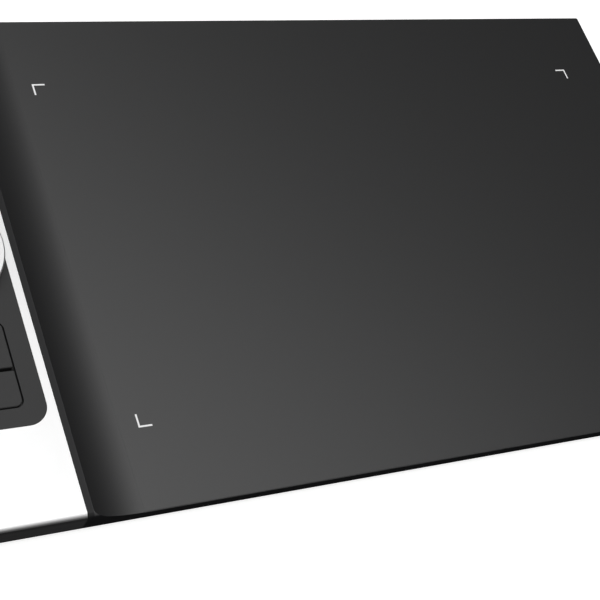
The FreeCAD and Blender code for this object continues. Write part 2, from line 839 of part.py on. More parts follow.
def make_key(label, column, row, end):
    """Hollow key cap: outer corner rounded, a flange under the panel and a post for the switch."""
    (left, right, front, back), (corner_x, corner_y) = key_edges(column, row, end)
    key = body(label, x=dial_x)
    cap = add(key, "cap", flange_under, key_top, rectangle(left, right, front, back))

    def at_round_corner(edge):
        return abs(edge.BoundBox.XMin - corner_x) + abs(edge.BoundBox.YMin - corner_y) < 1e-3

    big = fillet(key, cap, "key_corner", lambda e: upright(e) and at_round_corner(e))
    sharp_corners = [
        (x, y)
        for x in (number(left), number(right))
        for y in (number(front), number(back))
        if abs(x - corner_x) + abs(y - corner_y) > 1e-3
    ]
    small = fillet(
        key, big, "key_small_corner",
        lambda e: upright(e) and any(
            abs(e.BoundBox.XMin - x) + abs(e.BoundBox.YMin - y) < 1e-3 for x, y in sharp_corners
        ),
    )
    top = number(key_top)
    chamfer(key, small, "key_chamfer", lambda e: level(e, top))
    inside = (f"({left} + key_wall)", f"({right} - key_wall)",
              f"({front} + key_wall)", f"({back} - key_wall)")
    cut(key, "hollow", f"({flange_under} - past)", f"({key_top} - key_roof)",
        rounded(*inside, "(key_corner - key_wall)"))
    reach_left = f"({left} - flange_reach)" if column < 0 else left
    reach_right = f"({right} + flange_reach)" if column > 0 else right
    outward = (end > 0) == (row == "far")
    reach_front = front if outward else f"({front} - flange_reach)"
    reach_back = f"({back} + flange_reach)" if outward else back
    add(key, "flange", flange_under, flange_top,
        rectangle(reach_left, reach_right, reach_front, reach_back), rectangle(*inside))
    middle_x, middle_y = f"(({left} + {right}) / 2)", f"(({front} + {back}) / 2)"
    add(key, "post", plunger_top, f"({key_top} - key_roof + into)",
        circle(middle_x, middle_y, "post_radius"))
    return middle_x, middle_y


def make_switch(number_of_key, x, y):
    """A key switch: a square body with a round well, and the plunger that moves in it."""
    place_x = f"({dial_x} + {x})"
    base = body(f"key_switch_{number_of_key}", x=place_x, y=y)
    add(base, "case", "key_board_top", switch_top,
        rectangle("(-switch_size / 2)", "(switch_size / 2)",
                  "(-switch_size / 2)", "(switch_size / 2)"))
    cut(base, "well", "(key_board_top + switch_floor)", f"({switch_top} + past)",
        circle("0", "0", "(plunger_radius + plunger_gap)"))
    stem = body(f"switch_plunger_{number_of_key}", x=place_x, y=y)
    add(stem, "stem", f"({switch_top} - plunger_hold)", plunger_top,
        circle("0", "0", "plunger_radius"))


def make_keys():
    """Keys 1 to 8, from the back row to the front row, left then right."""
    rows = [("far", 1), ("near", 1), ("near", -1), ("far", -1)]
    order = [(column, row, end) for row, end in rows for column in (-1, 1)]
    for n, (column, row, end) in enumerate(order, start=1):
        make_switch(n, *make_key(f"key_{n}", column, row, end))


def make_dial():
    """Ring, rotor, hub, washer, dished disc and its sensor board, all round one axis."""
    ring = body("dial_ring", x=dial_x)
    neck_inner = "(neck_radius - neck_wall)"
    spigot = f"({neck_inner} - running_gap)"
    low = f"({panel_top} + dial_lift)"
    revolve(ring, "turning", [
        ("dial_radius", low), ("dial_radius", f"({ring_top} - dial_chamfer)"),
        ("(dial_radius - dial_chamfer)", ring_top), ("(ring_bore + dial_chamfer)", ring_top),
        ("ring_bore", f"({ring_top} - dial_chamfer)"), ("ring_bore", ring_under),
        (f"({spigot} - spigot_wall)", ring_under),
        (f"({spigot} - spigot_wall)", f"({ring_under} - spigot_height)"),
        (spigot, f"({ring_under} - spigot_height)"), (spigot, ring_under),
        ("(dial_radius - ring_wall)", ring_under), ("(dial_radius - ring_wall)", low),
    ])

    rotor = body("dial_rotor", x=dial_x)
    sleeve = f"({rotor_bore} + sleeve_wall)"
    sleeve_low = "(key_board_top + washer_thickness + running_gap)"
    sleeve_top = f"({lip_under} - 2 * running_gap)"
    comb_inner = "(comb_radius - comb_wall)"
    comb_low = "(key_board_top + comb_lift)"
    revolve(rotor, "turning", [
        (rotor_bore, sleeve_low), (sleeve, sleeve_low), (sleeve, web_under),
        (comb_inner, web_under), (comb_inner, comb_low), ("comb_radius", comb_low),
        ("comb_radius", web_top), ("neck_radius", web_top), ("neck_radius", ring_under),
        (neck_inner, ring_under), (neck_inner, web_top), (sleeve, web_top),
        (sleeve, sleeve_top), (rotor_bore, sleeve_top),
    ])
    gap = cut(rotor, "comb_gap", f"({comb_low} - past)", f"({comb_low} + comb_slot_height)",
              rectangle(f"({comb_inner} - into)", "(comb_radius + into)",
                        "(-comb_slot / 2)", "(comb_slot / 2)"))
    repeat(rotor, gap, "click_count")
    notch = cut(rotor, "click_notch", f"({web_under} - into)", f"({web_top} + past)",
                circle("(comb_radius + click_radius - click_depth)", "0", "click_radius"))
    repeat(rotor, notch, "click_count")

    hub = body("dial_hub", x=dial_x)
    flange_top_level = "(key_board_top + hub_flange_thickness)"
    revolve(hub, "turning", [
        (f"({hub_inner} - hub_flange)", "key_board_top"), ("hub_radius", "key_board_top"),
        ("hub_radius", lip_under), ("(hub_radius + lip_reach)", lip_under),
        ("(hub_radius + lip_reach)", disc_under), (hub_inner, disc_under),
        (hub_inner, flange_top_level), (f"({hub_inner} - hub_flange)", flange_top_level),
    ])
    hole = cut(hub, "screw_hole", "(key_board_top - past)", f"({flange_top_level} + past)",
               circle(hub_screw_circle, "0", "(board_screw_radius + thread_gap)"))
    repeat(hub, hole, "3")

    washer = body("dial_washer", x=dial_x)
    add(washer, "washer", "key_board_top", "(key_board_top + washer_thickness)",
        circle("0", "0", "washer_radius"), circle("0", "0", rotor_bore))

    disc = body("touch_disc", x=dial_x)
    disc_radius = "(ring_bore - disc_gap)"
    bottom = f"({disc_top} - disc_dish)"
    revolve(disc, "turning", [
        ("0", bottom), ("disc_floor", bottom), (f"({disc_radius} - disc_rim)", disc_top),
        (disc_radius, disc_top), (disc_radius, disc_under), ("0", disc_under),
    ])

    board = body("touch_board", x=dial_x)
    add(board, "board", f"({disc_under} - touch_board_thickness)", disc_under,
        circle("0", "0", "touch_board_radius"))


def make_detent_spring():
    """Leaf spring on two feet beside the rotor, with a bump towards the click notches."""
    spring = body("detent_spring", x=dial_x)
    tip = "(comb_radius + spring_gap)"
    leaf = f"({tip} + bump_rise)"
    outline = [
        (leaf, "(-spring_length / 2)"), (f"({leaf} + spring_thickness)", "(-spring_length / 2)"),
        (f"({leaf} + spring_thickness)", "(-bump_width / 2)"),
        (f"({tip} + spring_thickness)", "0"),
        (f"({leaf} + spring_thickness)", "(bump_width / 2)"),
        (f"({leaf} + spring_thickness)", "(spring_length / 2)"), (leaf, "(spring_length / 2)"),
        (leaf, "(bump_width / 2)"), (tip, "0"), (leaf, "(-bump_width / 2)"),
    ]
    add(spring, "leaf", "key_board_top", "(key_board_top + spring_height)", (outline, {}))
    cut(spring, "clearance", "(key_board_top - past)", "(key_board_top + spring_height / 2)",
        rectangle(f"({tip} - past)", f"({leaf} + past)", "(spring_foot - spring_length / 2)",
                  "(spring_length / 2 - spring_foot)"))


def make_dial_sensors():
    """Two forked light barriers that straddle the slotted skirt."""
    comb_middle = "(comb_radius - comb_wall / 2)"
    opening = "(comb_wall / 2 + sensor_gap)"
    outer = f"({comb_middle} + {opening} + sensor_leg)"
    inner = f"({comb_middle} - {opening} - sensor_leg)"
    top = f"({web_under} - sensor_top_gap)"
    forks = []
    for n, side in enumerate((-1, 1)):
        parts = []
        for part, near, far, low, high in (
            ("base", inner, outer, "key_board_top", "(key_board_top + sensor_base)"),
            ("inner_leg", inner, f"({inner} + sensor_leg)", "key_board_top", top),
            ("outer_leg", f"({outer} - sensor_leg)", outer, "key_board_top", top),
        ):
            parts.append(box(f"sensor_{part}_{n}", near, far, "(-sensor_width / 2)",
                             "(sensor_width / 2)", low, high))
        fork = doc.addObject("Part::MultiFuse", f"fork_{n}")
        fork.Shapes = parts
        fork.Placement.Rotation = FreeCAD.Rotation(FreeCAD.Vector(0, 0, 1), 0)
        place(fork, x=dial_x)
        bind(fork, "Placement.Rotation.Angle", f"(180 + {side} * sensor_tilt)")
        forks.append(fork)
    group("dial_sensors", forks)


def screw(label, x, y, seat, upward, radius, length, head, head_height):
    """Screw whose head lies under its seat and points up, or over it and points down."""
    sign = 1 if upward else -1
    ends = sorted((seat, f"({seat} + {sign} * {length})"), key=number)
    head_ends = sorted((seat, f"({seat} - {sign} * {head_height})"), key=number)
    made = doc.addObject("Part::Fuse", label)
    made.Base = cylinder(label + "_shank", x, y, *ends, radius)
    made.Tool = cylinder(label + "_head", x, y, *head_ends, head)
    return made


def make_screws():
    board = ("board_screw_radius", "board_screw_length", "board_screw_head",
             "board_screw_head_height")
    cover = ("cover_screw_radius", "cover_screw_length", "cover_screw_head",
             "cover_screw_head_height")
    group("cover_screws", [
        screw(f"cover_screw_{n}", x, y, screw_seat, True, *cover)
        for n, (x, y) in enumerate(foot_spots)
    ])
    seats = [(spot, "(key_board_top - board_thickness)") for spot in key_board_screws]
    seats += [(spot, "main_board_under") for spot in main_board_screws]
    group("board_screws", [
        screw(f"board_screw_{n}", x, y, seat, True, *board)
        for n, ((x, y), seat) in enumerate(seats)
    ])
    group("hub_screws", [
        screw(f"hub_screw_{n}", f"({dial_x} + {x})", y, "(key_board_top + hub_flange_thickness)",
              False, "board_screw_radius", "(hub_flange_thickness + board_thickness)",
              "board_screw_head", "board_screw_head_height")
        for n, (x, y) in enumerate(hub_screws)
    ])


def make_boards():
    """Switch board, main board, pen-sensing board with its tab, and the shield under it."""
    hole = "(board_screw_radius + thread_gap)"
    half_board = "(key_board_width / 2)"
    board = body("switch_board", x=dial_x)
    add(board, "board", "(key_board_top - board_thickness)", "key_board_top",
        rectangle(minus(half_board), half_board, "(-key_board_length / 2)",
                  "(key_board_length / 2)"))
    spots = [(f"({x} - {dial_x})", y) for x, y in key_board_screws]
    cut(board, "holes", "(key_board_top - board_thickness - past)", "(key_board_top + past)",
        *[circle(x, y, hole) for x, y in spots + hub_screws])

    main = body("main_board")
    add(main, "board", "main_board_under", "main_board_top",
        rectangle("main_board_left", main_board_right, "main_board_front", board_back))
    cut(main, "holes", "(main_board_under - past)", "(main_board_top + past)",
        *[circle(x, y, hole) for x, y in main_board_screws])

    sensor = body("sensor_board")
    half = "(sensor_board_depth / 2)"
    right = f"({sensor_left} + sensor_board_length)"
    tab_right = f"({sensor_left} + tab_length)"
    add(sensor, "board", sensor_under, sensor_top, ([
        (sensor_left, minus(half)), (right, minus(half)), (right, half), (tab_right, half),
        (tab_right, f"({half} + tab_depth)"), (sensor_left, f"({half} + tab_depth)"),
    ], {}))

    shield = body("shield_sheet")
    add(shield, "sheet", shield_under, sensor_under,
        rectangle(f"({sensor_left} + shield_margin)", f"({right} - shield_margin)",
                  f"(shield_margin - {half})", f"({half} - shield_margin)"))


def make_electronics():
    """Packages on the main board, cable sockets, flat cables and the inlet."""
    chips = []
    chip_back_edge = "(main_board_front + socket_depth + chip_gap + processor_size)"
    for n, kind in enumerate(("processor", "driver", "crystal")):
        left = f"(main_board_left + chip_start + {n} * chip_pitch)"
        chips.append(box(kind, left, f"({left} + {kind}_size)", f"({chip_back_edge} - {kind}_size)",
                         chip_back_edge, "main_board_top", f"(main_board_top + {kind}_height)"))
    group("main_chips", chips)

    ribbon_y = "(sensor_board_depth / 2 + tab_depth - socket_wall - ribbon_width / 2)"
    socket_y = (f"({ribbon_y} - ribbon_width / 2)", f"({ribbon_y} + ribbon_width / 2)")
    tab_mouth = f"({sensor_left} + tab_inset)"
    bridge_x = f"({dial_x} + bridge_offset)"
    bridge_left, bridge_right = f"({bridge_x} - ribbon_width / 2)", f"({bridge_x} + ribbon_width / 2)"
    key_edge = "(key_board_length / 2)"
    touch_low = "(key_board_top + socket_height)"
    sockets = [
        box("socket_main", f"({main_board_right} - socket_depth)", main_board_right, *socket_y,
            "main_board_top", "(main_board_top + socket_height)"),
        box("socket_sensor", tab_mouth, f"({tab_mouth} + socket_depth)", *socket_y,
            f"({sensor_under} - socket_height)", sensor_under),
        box("socket_bridge", bridge_left, bridge_right, "main_board_front",
            "(main_board_front + socket_depth)", "main_board_top",
            "(main_board_top + socket_height)"),
        box("socket_keys", bridge_left, bridge_right, f"({key_edge} - socket_depth)", key_edge,
            "key_board_top", "(key_board_top + socket_height)"),
        box("socket_touch", f"({dial_x} - touch_socket_x - socket_depth)",
            f"({dial_x} - touch_socket_x)",
            "(-touch_ribbon_width / 2)", "(touch_ribbon_width / 2)", "key_board_top", touch_low),
    ]
    group("ribbon_sockets", sockets)

    ribbon = body("sensor_ribbon", y=ribbon_y)
    start_level = "(main_board_top + socket_height / 2)"
    end_level = f"({sensor_under} - socket_height / 2)"
    extrude(ribbon, "strip", "Pad", "XZ_Plane", "0", "(ribbon_width - socket_wall)", [([
        (main_board_right, start_level), (f"({main_board_right} + ribbon_straight)", start_level),
        (f"({tab_mouth} - 2 * ribbon_straight)", end_level), (tab_mouth, end_level),
        (tab_mouth, f"({end_level} + ribbon_thickness)"),
        (f"({tab_mouth} - 2 * ribbon_straight)", f"({end_level} + ribbon_thickness)"),
        (f"({main_board_right} + ribbon_straight)", f"({start_level} + ribbon_thickness)"),
        (main_board_right, f"({start_level} + ribbon_thickness)"),
    ], {})], both_ways=True)

    bridge = body("switch_ribbon", x=bridge_x)
    key_level = "(key_board_top + socket_height / 2)"
    short = "(ribbon_straight / 4)"
    extrude(bridge, "strip", "Pad", "YZ_Plane", "0", "(ribbon_width - socket_wall)", [([
        (key_edge, key_level), (f"({key_edge} + {short})", key_level),
        (f"(main_board_front - {short})", start_level), ("main_board_front", start_level),
        ("main_board_front", f"({start_level} + ribbon_thickness)"),
        (f"(main_board_front - {short})", f"({start_level} + ribbon_thickness)"),
        (f"({key_edge} + {short})", f"({key_level} + ribbon_thickness)"),
        (key_edge, f"({key_level} + ribbon_thickness)"),
    ], {})], both_ways=True)

    lead = body("touch_ribbon", x=dial_x)
    mouth = "(-touch_socket_x)"
    board_under = f"({disc_under} - touch_board_thickness)"
    rise = "touch_rise_x"
    low_side = "(key_board_top + socket_height / 2)"
    extrude(lead, "strip", "Pad", "XZ_Plane", "0", "(touch_ribbon_width - socket_wall)", [([
        (mouth, low_side), (rise, low_side), (rise, board_under), (mouth, board_under),
        (mouth, f"({board_under} - ribbon_thickness)"),
        (f"({rise} - ribbon_thickness)", f"({board_under} - ribbon_thickness)"),
        (f"({rise} - ribbon_thickness)", f"({low_side} + ribbon_thickness)"),
        (mouth, f"({low_side} + ribbon_thickness)"),
    ], {})], both_ways=True)

    shell = body("usb_shell")
    tube = slot("inlet_x", inlet_level, "inlet_width", "inlet_height")
    bore = slot("inlet_x", inlet_level, "(inlet_width - 2 * inlet_wall)",
                "(inlet_height - 2 * inlet_wall)")
    extrude(shell, "tube", "Pad", "XZ_Plane", minus(inlet_mouth), "inlet_length", [tube, bore])

    tongue = body("usb_tongue")
    plug_end = "(inlet_length - tongue_block)"
    extrude(tongue, "base", "Pad", "XZ_Plane", minus(f"({inlet_mouth} - {plug_end})"),
            "tongue_block", [bore])
    extrude(
        tongue, "blade", "Pad", "XZ_Plane", minus(f"({inlet_mouth} - {plug_end} + tongue_length)"),
        "(tongue_length + into)",
        [rectangle("(inlet_x - tongue_width / 2)", "(inlet_x + tongue_width / 2)",
                   f"({inlet_level} - tongue_thickness / 2)",
                   f"({inlet_level} + tongue_thickness / 2)")],
    )


def write_pieces():
    """Checks every object and each sub-part, then writes one file per sub-part."""
    doc.recompute()
    for thing in doc.Objects:
        if "Invalid" in thing.State or "Error" in thing.State:
            raise RuntimeError(f"{thing.Label} failed: {thing.State}")
    for piece in pieces:
        if piece.Shape.isNull() or not piece.Shape.isValid() or not piece.Shape.Solids:
            raise RuntimeError(f"{piece.Label} has no valid solid")
    os.makedirs("parts", exist_ok=True)
    for piece in pieces:
        piece.Shape.exportStep(f"parts/{piece.Label}.step")
    print(f"{len(pieces)} sub-parts written")


doc.recompute()
make_top_cover()
make_drawing_sheet()
make_side_plate()
make_bottom_cover()
make_feet()
make_key_panel()
make_keys()
make_dial()
make_detent_spring()
make_dial_sensors()
make_boards()
make_electronics()
make_screws()
write_pieces()
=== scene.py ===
# Graphics tablet: a black housing with a matte drawing area, a raised end under a silver plate,
# eight keys and a turning dial. Metres, X along the housing, Z up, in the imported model's frame.
import math

import bpy
from mathutils import Matrix, Vector


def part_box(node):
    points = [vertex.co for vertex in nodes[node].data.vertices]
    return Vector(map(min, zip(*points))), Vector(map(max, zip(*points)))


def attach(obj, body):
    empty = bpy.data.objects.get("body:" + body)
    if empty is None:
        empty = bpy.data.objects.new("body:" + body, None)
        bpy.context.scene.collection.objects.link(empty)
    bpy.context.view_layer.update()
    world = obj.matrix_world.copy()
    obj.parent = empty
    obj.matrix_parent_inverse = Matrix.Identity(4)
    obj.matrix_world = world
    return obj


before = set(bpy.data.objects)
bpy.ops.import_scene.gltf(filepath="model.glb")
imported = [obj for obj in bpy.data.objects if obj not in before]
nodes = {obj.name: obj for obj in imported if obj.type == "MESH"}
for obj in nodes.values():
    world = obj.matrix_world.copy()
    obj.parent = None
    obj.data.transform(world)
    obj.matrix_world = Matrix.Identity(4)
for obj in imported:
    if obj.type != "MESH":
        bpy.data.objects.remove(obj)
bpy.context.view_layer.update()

# Camera
# It stands off the front left corner, high above the key end, and looks down across the drawing
# area. The axes are those that the photograph's two sets of parallel edges give.
VIEW_RIGHT = Vector((0.870841, -0.321135, 0.372167))
VIEW_UP = Vector((0.095152, 0.852911, 0.513311))
CAMERA_PLACE = Vector((-0.31881, -0.28667, 0.48175))
camera = bpy.data.objects.new("camera", bpy.data.cameras.new("camera"))
camera.data.sensor_width = 36
camera.data.lens = 90.745
camera.data.clip_start = 0.01
turn = Matrix((VIEW_RIGHT, VIEW_UP, VIEW_RIGHT.cross(VIEW_UP))).transposed()
camera.matrix_world = Matrix.Translation(CAMERA_PLACE) @ turn.to_4x4()
bpy.context.scene.collection.objects.link(camera)
bpy.context.scene.camera = camera
bpy.context.scene.view_settings.view_transform = "Standard"


# Light
# One soft box hangs flat over the desk. It ends towards the back right, so the matte plastic fades
# from the front left corner to the back right one. The room round it is pale, and dim on the right.
BOX_HEIGHT = 1.6
BOX_REACH = 1.14
BOX_LENGTH = 2.6
BOX_WIDTH = 3.0
BOX_SHIFT = 0.7
BOX_TURN = math.radians(46)
BOX_RADIANCE = 1.22
box = bpy.data.lights.new("soft_box", "AREA")
box.shape = "RECTANGLE"
box.size = BOX_LENGTH
box.size_y = BOX_WIDTH
box.energy = BOX_RADIANCE * math.pi * BOX_LENGTH * BOX_WIDTH
hung_box = bpy.data.objects.new("soft_box", box)
middle = BOX_REACH - BOX_LENGTH / 2
hung_box.rotation_euler = (0, 0, BOX_TURN)
hung_box.location = Matrix.Rotation(BOX_TURN, 3, "Z") @ Vector((middle, BOX_SHIFT, BOX_HEIGHT))
bpy.context.scene.collection.objects.link(hung_box)

ROOM_DIM = 0.02
ROOM_PALE = 0.52
DIM_SIDE = math.radians(30)
DIM_START = -0.2
DIM_FULL = 0.8
room = bpy.data.worlds.new("room")
room.use_nodes = True
tree = room.node_tree
direction = tree.nodes.new("ShaderNodeTexCoord")
towards_dim = tree.nodes.new("ShaderNodeVectorMath")
towards_dim.operation = "DOT_PRODUCT"
towards_dim.inputs[1].default_value = (math.cos(DIM_SIDE), math.sin(DIM_SIDE), 0)
walls = tree.nodes.new("ShaderNodeMapRange")
walls.interpolation_type = "SMOOTHSTEP"
walls.inputs["From Min"].default_value = DIM_START
walls.inputs["From Max"].default_value = DIM_FULL
walls.inputs["To Min"].default_value = ROOM_PALE
walls.inputs["To Max"].default_value = ROOM_DIM
tree.links.new(direction.outputs["Generated"], towards_dim.inputs[0])
tree.links.new(towards_dim.outputs["Value"], walls.inputs["Value"])
tree.links.new(walls.outputs[0], tree.nodes["Background"].inputs["Strength"])
tree.nodes["Background"].inputs["Color"].default_value = (1, 1, 1, 1)
bpy.context.scene.world = room


# Desk
# A plain white desk top. To the eye and in reflections it is brightened to the photograph's white
# ground, and it still takes the tablet's shadow.
DESK_SIZE = 12.0
DESK_DROP = 0.00005
DESK_COLOR = (0.6, 0.6, 0.6, 1)
DESK_LIFT = 0.7


def fed(tree, step, *values):
    """The step's result, with sockets or numbers fed into its inputs in order."""
    for socket, value in zip(step.inputs, values):
        if isinstance(value, (int, float)):
            socket.default_value = value
        else:
            tree.links.new(value, socket)
    return step.outputs[0]


def maths(tree, operation, *terms):
    """One step of arithmetic on sockets or numbers."""
    step = tree.nodes.new("ShaderNodeMath")
    step.operation = operation
    return fed(tree, step, *terms)


desk_mesh = bpy.data.meshes.new("desk")
reach = DESK_SIZE / 2
desk_mesh.from_pydata(
    [(-reach, -reach, -DESK_DROP), (reach, -reach, -DESK_DROP),
     (reach, reach, -DESK_DROP), (-reach, reach, -DESK_DROP)],
    [], [(0, 1, 2, 3)],
)
desk = bpy.data.objects.new("desk", desk_mesh)
bpy.context.scene.collection.objects.link(desk)
desk_white = bpy.data.materials.new("desk_white")
desk_white.use_nodes = True
tree = desk_white.node_tree
tree.nodes.clear()
path = tree.nodes.new("ShaderNodeLightPath").outputs
seen = maths(tree, "MAXIMUM", path["Is Camera Ray"], path["Is Glossy Ray"])
seen = maths(tree, "MAXIMUM", seen, path["Is Transmission Ray"])
glow = tree.nodes.new("ShaderNodeEmission")
tree.links.new(maths(tree, "MULTIPLY", seen, DESK_LIFT), glow.inputs["Strength"])
paint = tree.nodes.new("ShaderNodeBsdfDiffuse")
paint.inputs["Color"].default_value = DESK_COLOR
both = tree.nodes.new("ShaderNodeAddShader")
tree.links.new(glow.outputs[0], both.inputs[0])
tree.links.new(paint.outputs[0], both.inputs[1])
output = tree.nodes.new("ShaderNodeOutputMaterial")
tree.links.new(both.outputs[0], output.inputs["Surface"])
desk_mesh.materials.append(desk_white)


# Drawing sheet
# A matte polyester film, 0.3 mm thick, bonded into the seat of the upper housing. Its clear coat
# has a fine random bite, like paper's.
def finish(name, color, roughness, metallic=0.0, specular=0.5):
    """A material whose plain values sit on its shader, ready for texture to be wired in."""
    made = bpy.data.materials.new(name)
    made.use_nodes = True
    shader = made.node_tree.nodes["Principled BSDF"]
    shader.inputs["Base Color"].default_value = (*color, 1)
    shader.inputs["Roughness"].default_value = roughness
    shader.inputs["Metallic"].default_value = metallic
    shader.inputs["Specular IOR Level"].default_value = specular
    return made


def clear_coat(made, roughness, index):
    """A clear matte coat over the whole material."""
    shader = made.node_tree.nodes["Principled BSDF"]
    shader.inputs["Coat Weight"].default_value = 1
    shader.inputs["Coat Roughness"].default_value = roughness
    shader.inputs["Coat IOR"].default_value = index


def noise(made, size, detail=2.0, stretch=(1, 1, 1)):
    """Random texture on the object's own coordinates, with features of about the given size."""
    tree = made.node_tree
    place = tree.nodes.new("ShaderNodeTexCoord")
    scaled = tree.nodes.new("ShaderNodeMapping")
    scaled.inputs["Scale"].default_value = [k / size for k in stretch]
    texture = tree.nodes.new("ShaderNodeTexNoise")
    texture.inputs["Scale"].default_value = 1
    texture.inputs["Detail"].default_value = detail
    tree.links.new(place.outputs["Object"], scaled.inputs["Vector"])
    tree.links.new(scaled.outputs["Vector"], texture.inputs["Vector"])
    return texture.outputs["Fac"]


def spread(made, texture, low, high, start=0.0, end=1.0, smooth=False):
    """The texture's values between start and end, spread from low to high."""
    ranged = made.node_tree.nodes.new("ShaderNodeMapRange")
    if smooth:
        ranged.interpolation_type = "SMOOTHSTEP"
    ranged.inputs["From Min"].default_value = start
    ranged.inputs["From Max"].default_value = end
    ranged.inputs["To Min"].default_value = low
    ranged.inputs["To Max"].default_value = high
    made.node_tree.links.new(texture, ranged.inputs["Value"])
    return ranged.outputs["Result"]


def wire(made, socket, texture):
    """Lets a texture drive one of the shader's sockets."""
    shader = made.node_tree.nodes["Principled BSDF"]
    made.node_tree.links.new(texture, shader.inputs[socket])


def tint(made, texture, low, high):
    """Base colour between two colours, by the texture."""
    blend = made.node_tree.nodes.new("ShaderNodeMix")
    blend.data_type = "RGBA"
    blend.inputs["A"].default_value = (*low, 1)
    blend.inputs["B"].default_value = (*high, 1)
    made.node_tree.links.new(texture, blend.inputs["Factor"])
    wire(made, "Base Color", blend.outputs["Result"])


def relief(made, texture, depth):
    """Raises the surface, and its coat, by the texture, by at most the given depth."""
    tree = made.node_tree
    raised = tree.nodes.new("ShaderNodeBump")
    raised.inputs["Strength"].default_value = 1
    raised.inputs["Distance"].default_value = depth
    shader = tree.nodes["Principled BSDF"]
    if shader.inputs["Normal"].is_linked:
        below = shader.inputs["Normal"].links[0].from_socket
        tree.links.new(below, raised.inputs["Normal"])
    tree.links.new(texture, raised.inputs["Height"])
    tree.links.new(raised.outputs["Normal"], shader.inputs["Normal"])
    tree.links.new(raised.outputs["Normal"], shader.inputs["Coat Normal"])


def dress(made, *names):
    """Gives the material to CAD nodes."""
    for name in names:
        for slot in nodes[name].material_slots:
            slot.material = made


film = finish("drawing_film", (0.01, 0.01, 0.0105), 0.6, specular=0.0)
clear_coat(film, 0.38, 1.77)
tint(film, noise(film, 0.002), (0.009, 0.009, 0.0094), (0.011, 0.011, 0.0116))
wire(film, "Roughness", spread(film, noise(film, 0.0006), 0.56, 0.66))
relief(film, noise(film, 0.00025, detail=1), 0.000004)
dress(film, "drawing_sheet")


# Corner marks
# White ink, screen printed on the film: one angle at each corner of the active area. The lines
# are 0.7 mm wide and the corners point outwards.
HOUSING = "tablet"
ACTIVE_WIDTH = 0.2772
ACTIVE_DEPTH = 0.1585
ACTIVE_CENTRE = (0.03125, -0.00017)
MARK_LEG = 0.0055
MARK_LINE = 0.0007
INK_HEIGHT = 0.00002


def new_tree(name, **sizes):
    """A node tree with one named input for each size, and its socket identifiers."""
    tree = bpy.data.node_groups.new(name, "GeometryNodeTree")
    tree.interface.new_socket("Geometry", in_out="OUTPUT", socket_type="NodeSocketGeometry")
    sockets = {}
    for title, value in sizes.items():
        kind = "NodeSocketInt" if isinstance(value, int) else "NodeSocketFloat"
        made = tree.interface.new_socket(title, in_out="INPUT", socket_type=kind)
        sockets[made.identifier] = value
    return tree, sockets


def vector(tree, x, y, z):
    """A vector from three sockets or numbers."""
    return fed(tree, tree.nodes.new("ShaderNodeCombineXYZ"), x, y, z)


def moved(tree, geometry, place, quarter_turns=0):
    """The geometry, turned about Z by quarter turns and moved to its place."""
    step = tree.nodes.new("GeometryNodeTransform")
    step.inputs["Rotation"].default_value = (0, 0, math.radians(90 * quarter_turns))
    tree.links.new(geometry, step.inputs["Geometry"])
    tree.links.new(place, step.inputs["Translation"])
    return step.outputs["Geometry"]


def close_tree(tree, geometry, material):
    """Ends the tree in real faces of one material."""
    real = tree.nodes.new("GeometryNodeRealizeInstances")
    painted = tree.nodes.new("GeometryNodeSetMaterial")
    painted.inputs["Material"].default_value = material
    end = tree.nodes.new("NodeGroupOutput")
    tree.links.new(geometry, real.inputs["Geometry"])
    tree.links.new(real.outputs["Geometry"], painted.inputs["Geometry"])
    tree.links.new(painted.outputs["Geometry"], end.inputs["Geometry"])


def grown(name, tree, sockets, body):
    """The tree's result as a plain mesh piece that rides on a body."""
    carrier = bpy.data.objects.new(name + "_carrier", bpy.data.meshes.new(name + "_carrier"))
    bpy.context.scene.collection.objects.link(carrier)
    modifier = carrier.modifiers.new("growth", "NODES")
    modifier.node_group = tree
    for identifier, value in sockets.items():
        modifier[identifier] = value
    bpy.context.view_layer.update()
    evaluated = carrier.evaluated_get(bpy.context.evaluated_depsgraph_get())
    mesh = bpy.data.meshes.new_from_object(evaluated)
    carrier.modifiers.remove(modifier)
    bpy.data.objects.remove(carrier)
    mesh.name = name
    made = bpy.data.objects.new(name, mesh)
    bpy.context.scene.collection.objects.link(made)
    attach(made, body)
    return made


ink = finish("white_ink", (0.9, 0.9, 0.9), 0.5, specular=0.3)
tint(ink, noise(ink, 0.0003), (0.87, 0.87, 0.87), (0.93, 0.93, 0.93))
relief(ink, noise(ink, 0.0002), 0.000004)
tree, sockets = new_tree(
    "corner_marks", Width=ACTIVE_WIDTH, Depth=ACTIVE_DEPTH, Leg=MARK_LEG, Line=MARK_LINE,
    Ink=INK_HEIGHT,
)
given = tree.nodes.new("NodeGroupInput").outputs
film_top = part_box("drawing_sheet")[1].z
corner = tree.nodes.new("GeometryNodeMeshCube")
tree.links.new(vector(tree, given["Line"], given["Line"], given["Ink"]), corner.inputs["Size"])
half_line = maths(tree, "MULTIPLY", given["Line"], 0.5)
half_ink = maths(tree, "MULTIPLY", given["Ink"], 0.5)
seated = moved(tree, corner.outputs["Mesh"], vector(tree, half_line, half_line, half_ink))
facing = tree.nodes.new("ShaderNodeSeparateXYZ")
tree.links.new(tree.nodes.new("GeometryNodeInputNormal").outputs["Normal"], facing.inputs[0])
inward = maths(tree, "ADD", facing.outputs["X"], facing.outputs["Y"])
legs = tree.nodes.new("GeometryNodeExtrudeMesh")
legs.inputs["Individual"].default_value = True
tree.links.new(seated, legs.inputs["Mesh"])
tree.links.new(maths(tree, "GREATER_THAN", inward, 0.5), legs.inputs["Selection"])
tree.links.new(maths(tree, "SUBTRACT", given["Leg"], given["Line"]), legs.inputs["Offset Scale"])
marks = tree.nodes.new("GeometryNodeJoinGeometry")
